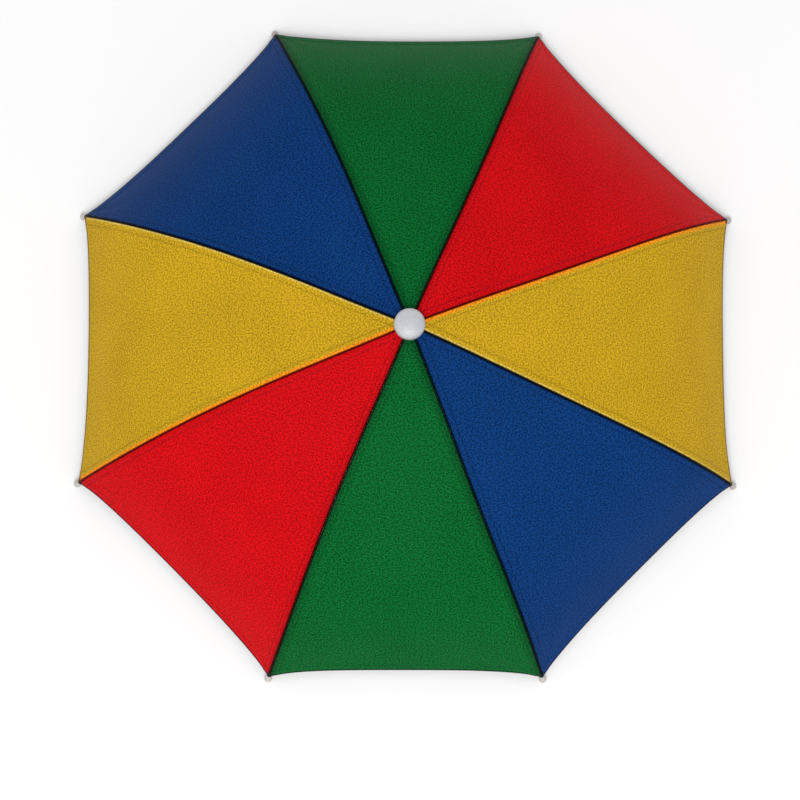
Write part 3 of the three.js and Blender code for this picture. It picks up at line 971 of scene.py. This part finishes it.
# Headband: a loop of ribbed elastic, lapped and sewn, hung on four tabs of narrow elastic
bandLow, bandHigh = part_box("headband")
band = dict(outside=(bandHigh.x - bandLow.x) / 2, bottom=bandLow.z, width=bandHigh.z - bandLow.z,
            thick=1.9 * mm, lap=16 * mm, lapGap=0.15 * mm, lapAzimuth=math.radians(270),
            lapRise=(-0.07, -0.01),  # where the end climbs on to the start, in radians before it
            droop=0.9 * mm, bow=0.4 * mm, cords=20, cordDepth=0.1 * mm, edgeRound=0.035, around=288)
lapSewing = dict(runs=3, runSpread=0.38, height=0.44, stitches=19, zig=0.8 * mm, lift=0.1 * mm,
                 radius=0.2 * mm)
tab = dict(count=4, width=8 * mm, thick=1.1 * mm, lap=20 * mm, loop=9 * mm, sewn=8 * mm, gap=0.3 * mm,
           loopGap=0.5 * mm, steps=90)
tabSewing = dict(half=2.8 * mm, fromEnd=2 * mm, fromTop=3 * mm,  # the box on the band
                 length=2.4 * mm, gap=0.08, radius=0.18 * mm,
                 tackBars=9, tackFrom=2 * mm, tackStep=0.45 * mm, tackHalf=3 * mm, tackRadius=0.2 * mm)


def bandMiddle(azimuth):  # radius to the band's middle and its drop, between tabs and at them
    sway = np.cos(tab["count"] * (azimuth - halfPitch))  # 1 at a tab, -1 halfway between two
    return (band["outside"] - band["thick"] / 2 + band["bow"] * (sway - 1) / 2,
            -band["droop"] * (1 - sway) / 2)


def addHeadband():
    # a closed outline in (out, up) that rounds its edges and shows the cords, carried once round
    # and a little further, where the end laps over the start
    half = band["thick"] / 2
    heights = np.linspace(-0.5, 0.5, band["cords"] * 4 + 1)
    cords = band["cordDepth"] * np.cos(heights * 2 * math.pi * band["cords"])
    toEdge = np.clip((0.5 - np.abs(heights)) / band["edgeRound"], 0, 1)
    face = half * np.minimum(1, np.sqrt(toEdge) * 0.8 + 0.2) + cords * 0.5
    out = np.concatenate([face, -face[::-1]])
    up = np.concatenate([heights, heights[::-1]]) * band["width"]
    lapTurn = band["lap"] / band["outside"]
    turn = np.linspace(0, 2 * math.pi + lapTurn, band["around"])
    azimuth = turn + band["lapAzimuth"] - lapTurn / 2
    radius, drop = bandMiddle(azimuth)
    outside = smooth(turn, *(2 * math.pi + before for before in band["lapRise"]))
    radius = radius + (band["thick"] + band["lapGap"]) * outside
    c, s = np.cos(azimuth), np.sin(azimuth)
    path = np.stack([radius * c, radius * s, band["bottom"] + band["width"] / 2 + drop], -1)
    sides = np.stack([c, s, 0 * c], -1)
    ups = np.repeat([[0.0, 0, 1]], len(turn), 0)
    points, faces = sweep(path, sides, ups, np.stack([out, up], -1))
    piece = addPiece("elasticBand", points, faces, elastic, "black_elastic", sharp=60, nodes=["headband"])
    length = turn[-1] * (band["outside"] - half)
    along = np.repeat(turn / turn[-1] * length, len(out))
    addAttribute(piece, "weave", np.stack([along, np.tile(up, len(turn)), 0 * along], -1))
    return piece, length


def addLapSewing():  # zigzag runs up the lap
    s = lapSewing
    radius = band["outside"] + band["thick"] + s["lift"]
    middle = band["bottom"] + band["width"] / 2 - band["droop"] / 2
    heights = np.linspace(-s["height"], s["height"], s["stitches"] + 1) * band["width"] + middle
    bars = []
    for run in np.linspace(-s["runSpread"], s["runSpread"], s["runs"]) * band["lap"]:
        azimuth = band["lapAzimuth"] + run / band["outside"]
        lift = np.array([math.cos(azimuth), math.sin(azimuth), 0])
        corners = []
        for k, height in enumerate(heights):
            at = azimuth + (s["zig"] if k % 2 else -s["zig"]) / radius
            corners.append(np.array([radius * math.cos(at), radius * math.sin(at), height]))
        bars += [stitchBar(a, b, lift, s["radius"]) for a, b in zip(corners, corners[1:])]
    return addPiece("bandSewing", *joined(bars), greyThread, "black_elastic")


def splinePoints(knots, steps):  # a smooth line through the knots
    knots = np.asarray(knots, float)
    ends = np.concatenate([[2 * knots[0] - knots[1]], knots, [2 * knots[-1] - knots[-2]]])
    line = []
    for t in np.linspace(0, len(knots) - 1, steps):
        k = min(int(t), len(knots) - 2)
        u = t - k
        a, b, c, d = ends[k:k + 4]
        line.append(0.5 * (2 * b + (c - a) * u + (2 * a - 5 * b + 4 * c - d) * u ** 2
                           + (3 * b - a - 3 * c + d) * u ** 3))
    return np.array(line)


def addTab(k):  # sewn to the outside of the band, over a stretcher and back down to itself
    inner, outer = stretcherEnds()
    radius = band["outside"] + tab["gap"] + tab["thick"] / 2
    held = inner + (outer - inner) * ((radius - inner[0]) / (outer[0] - inner[0]))
    alongBar = unit(outer - inner)
    ringRadius = stretcher["half"] + tab["loopGap"] + tab["thick"] / 2
    beside = (tab["thick"] + tab["gap"]) / 2
    bandTop = band["bottom"] + band["width"]
    joinTop = held[2] - tab["loop"]
    joinLow = joinTop - tab["sewn"]
    # (out from the axis, beside the stretcher, height)
    knots = [(radius, 0, bandTop - tab["lap"]), (radius, 0, bandTop), (radius, -beside, joinLow),
             (radius, -beside, joinTop), (radius, -ringRadius, held[2]), (radius, 0, held[2] + ringRadius),
             (radius, ringRadius, held[2]), (radius, beside, joinTop), (radius, beside, joinLow)]
    path = splinePoints(knots, tab["steps"])
    ahead = unit(np.gradient(path, axis=0))
    turn = smooth(path[:, 2], bandTop, joinLow) * math.pi / 2
    wide = -alongBar * np.sin(turn)[:, None] + np.array([0, 1, 0]) * np.cos(turn)[:, None]
    thick = unit(np.cross(wide, ahead))
    half, rim = tab["width"] / 2, tab["thick"] / 2
    outline = arc((half - rim, 0), rim, -90, 90, 6) + arc((-half + rim, 0), rim, 90, 270, 6)
    points, faces = sweep(path, wide, thick, outline)
    spin = Matrix.Rotation(ribAzimuth(2 * k), 4, "Z")
    piece = addPiece(f"bandTab{k + 1}", placed(points, spin), faces, elastic, "black_elastic", sharp=60,
                     nodes=[f"headband_tab_{k + 1}"])
    reach = lengthsAlong(path)
    across = np.tile([p[0] for p in outline], len(path))
    addAttribute(piece, "weave", np.stack([np.repeat(reach, len(outline)), across, 0 * across], -1))
    bars = boxStitches(radius + tab["thick"] / 2 + 0.02 * mm, bandTop)
    for sign in (1, -1):
        y = sign * (beside + tab["thick"] / 2)
        start = np.array([radius, y, joinLow + tabSewing["tackFrom"]])
        bars += barTack(start, alongBar, np.array([0, float(sign), 0]))
    points, faces = joined(bars)
    sewing = addPiece(f"tabSewing{k + 1}", placed(points, spin), faces, greyThread, "black_elastic")
    return piece, sewing, float(reach[-1])


def boxStitches(face, bandTop):  # a box and a diagonal that hold the tab on the band
    s = tabSewing
    half, low, high = s["half"], bandTop - tab["lap"] + s["fromEnd"], bandTop - s["fromTop"]
    box = [(-half, low), (half, low), (half, high), (-half, high), (-half, low), (half, high)]
    bars = []
    for a, b in zip(box, box[1:]):
        count = max(2, round(math.dist(a, b) / s["length"]))
        for n in range(count):
            ends = [np.array([face, a[0] + (b[0] - a[0]) * share, a[1] + (b[1] - a[1]) * share])
                    for share in ((n + s["gap"]) / count, (n + 1 - s["gap"]) / count)]
            bars.append(stitchBar(*ends, np.array([1.0, 0, 0]), s["radius"]))
    return bars


def barTack(start, alongBar, lift):  # close bars through both layers under the loop
    s = tabSewing
    bars = []
    for n in range(s["tackBars"]):
        middle = start + np.array([0, 0, n * s["tackStep"]])
        bars.append(stitchBar(middle - alongBar * s["tackHalf"], middle + alongBar * s["tackHalf"], lift,
                              s["tackRadius"]))
    return bars


greyThread = threadFinish("greyThread", "#4a4a50")
headband, bandLength = addHeadband()
onBand = [addLapSewing()]
for k in range(tab["count"]):
    *sewn, tabLength = addTab(k)
    onBand += sewn
print("stage: headband made, %.3f m long, tabs %.3f m" % (bandLength, tabLength))
